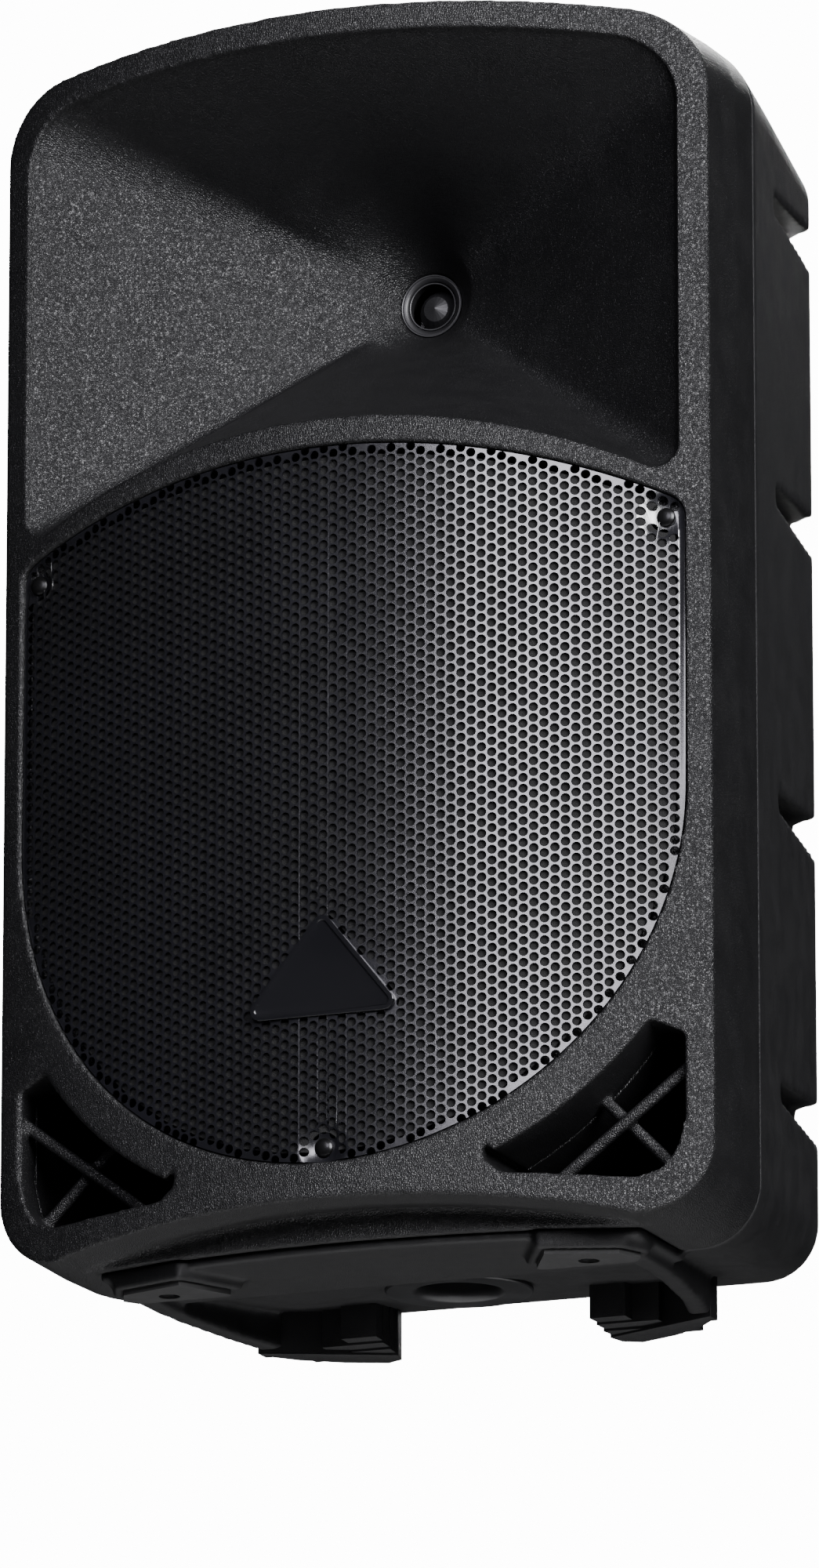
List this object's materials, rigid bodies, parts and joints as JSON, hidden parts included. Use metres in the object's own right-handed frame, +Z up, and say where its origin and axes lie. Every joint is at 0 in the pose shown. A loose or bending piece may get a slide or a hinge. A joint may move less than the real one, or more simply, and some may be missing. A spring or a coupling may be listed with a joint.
{
  "type": "pa speaker",
  "caption": "Moulded portable PA loudspeaker: square horn over a round woofer behind a bowed perforated grille, corner bass ports, top handle, pole socket and rear amplifier panel.",
  "frame": {"origin": "middle of the footprint on the floor, under the centre of the bounding box", "axes": "+Z up, -Y out of the horn and grille (front), +X to the right as seen from the back's opposite side, the viewer's right when facing the grille"},
  "size_m": [0.345, 0.2679, 0.586],
  "materials": {
    "grained_shell": "black leather grain, soft sheen",
    "rear_plastic": "black fine grain",
    "grille_paint": "black powder coat",
    "black_screw": "black oxide",
    "gloss_badge": "gloss black",
    "soft_rubber": "black",
    "paper_cone": "coated black paper",
    "cast_metal": "cast",
    "ferrite": "dull dark grey",
    "bright_metal": "satin",
    "spider_cloth": "tan cloth",
    "copper_coil": "copper wire",
    "painted_steel": "black",
    "circuit_green": "solder resist",
    "knob_plastic": "satin black",
    "jack_plastic": "black",
    "light_pipe": "clear tinted",
    "grey_foam": "open foam",
    "black_foam": "thin acoustic foam"
  },
  "bodies": {
    "cabinet": {"front_shell": "grained_shell", "rear_shell": "rear_plastic", "grille": "grille_paint", "badge": "gloss_badge", "grille_foam": "black_foam", "grille_screw_top_left": "black_screw", "grille_screw_top_right": "black_screw", "grille_screw_bottom": "black_screw", "woofer_basket": "painted_steel", "woofer_front_plate": "painted_steel", "woofer_magnet": "ferrite", "woofer_back_plate": "painted_steel", "woofer_surround": "soft_rubber", "woofer_spider": "spider_cloth", "throat_ring": "bright_metal", "driver_housing": "painted_steel", "driver_magnet": "ferrite", "phase_plug": "painted_steel", "port_duct_right": "grained_shell", "port_duct_left": "grained_shell", "foot_plate_right": "soft_rubber", "foot_plate_left": "soft_rubber", "foot_screw_right": "black_screw", "foot_screw_left": "black_screw", "pole_socket": "jack_plastic", "handle_bar": "rear_plastic", "amp_panel": "painted_steel", "panel_screw_1": "black_screw", "panel_screw_2": "black_screw", "panel_screw_3": "black_screw", "panel_screw_4": "black_screw", "amp_board": "circuit_green", "heat_sink": "cast_metal", "toroid_transformer": "copper_coil", "combo_jack_1": "jack_plastic", "combo_jack_2": "jack_plastic", "link_jack": "jack_plastic", "pot_level_1": "jack_plastic", "pot_level_2": "jack_plastic", "pot_treble": "jack_plastic", "pot_bass": "jack_plastic", "led_power": "light_pipe", "led_signal": "light_pipe", "led_limit": "light_pipe", "switch_frame": "jack_plastic", "mains_inlet": "jack_plastic", "damping_pad_right": "grey_foam", "damping_pad_left": "grey_foam"},
    "cone_assembly": {"woofer_cone": "paper_cone", "dust_cap": "paper_cone", "voice_coil": "copper_coil"},
    "diaphragm": {"tweeter_diaphragm": "bright_metal"},
    "rocker": {"power_rocker": "knob_plastic"},
    "drawer": {"fuse_drawer": "jack_plastic"},
    "latch_1": {"jack_latch_1": "bright_metal"},
    "latch_2": {"jack_latch_2": "bright_metal"},
    "knob_level_1_body": {"knob_level_1": "knob_plastic"},
    "knob_level_2_body": {"knob_level_2": "knob_plastic"},
    "knob_treble_body": {"knob_treble": "knob_plastic"},
    "knob_bass_body": {"knob_bass": "knob_plastic"}
  },
  "joints": [
    {"name": "woofer_travel", "type": "slide", "parent": "cabinet", "child": "cone_assembly", "axis": [0, -1, 0], "range_m": [-0.005, 0.005], "stiffness_N_per_m": 4000, "deforming": ["woofer_surround", "woofer_spider"]},
    {"name": "diaphragm_travel", "type": "slide", "parent": "cabinet", "child": "diaphragm", "axis": [0, -1, 0], "range_m": [-0.0003, 0.0003], "stiffness_N_per_m": 100},
    {"name": "level_1_turn", "type": "hinge", "parent": "cabinet", "child": "knob_level_1_body", "pos_m": [-0.045, 0.1111, 0.37], "axis": [0, -1, 0], "range_deg": [-140, 140]},
    {"name": "level_2_turn", "type": "hinge", "parent": "cabinet", "child": "knob_level_2_body", "pos_m": [-0.015, 0.1111, 0.37], "axis": [0, -1, 0], "range_deg": [-140, 140]},
    {"name": "treble_turn", "type": "hinge", "parent": "cabinet", "child": "knob_treble_body", "pos_m": [0.015, 0.1111, 0.37], "axis": [0, -1, 0], "range_deg": [-140, 140]},
    {"name": "bass_turn", "type": "hinge", "parent": "cabinet", "child": "knob_bass_body", "pos_m": [0.045, 0.1111, 0.37], "axis": [0, -1, 0], "range_deg": [-140, 140]},
    {"name": "power_rocker_tilt", "type": "hinge", "parent": "cabinet", "child": "rocker", "pos_m": [-0.032, 0.1096, 0.195], "axis": [1, 0, 0], "range_deg": [-16, 0]},
    {"name": "fuse_drawer_slide", "type": "slide", "parent": "cabinet", "child": "drawer", "axis": [0, 1, 0], "range_m": [0, 0.018]},
    {"name": "jack_latch_1_press", "type": "slide", "parent": "cabinet", "child": "latch_1", "axis": [0, -1, 0], "range_m": [0, 0.002], "stiffness_N_per_m": 20},
    {"name": "jack_latch_2_press", "type": "slide", "parent": "cabinet", "child": "latch_2", "axis": [0, -1, 0], "range_m": [0, 0.002], "stiffness_N_per_m": 20}
  ]
}
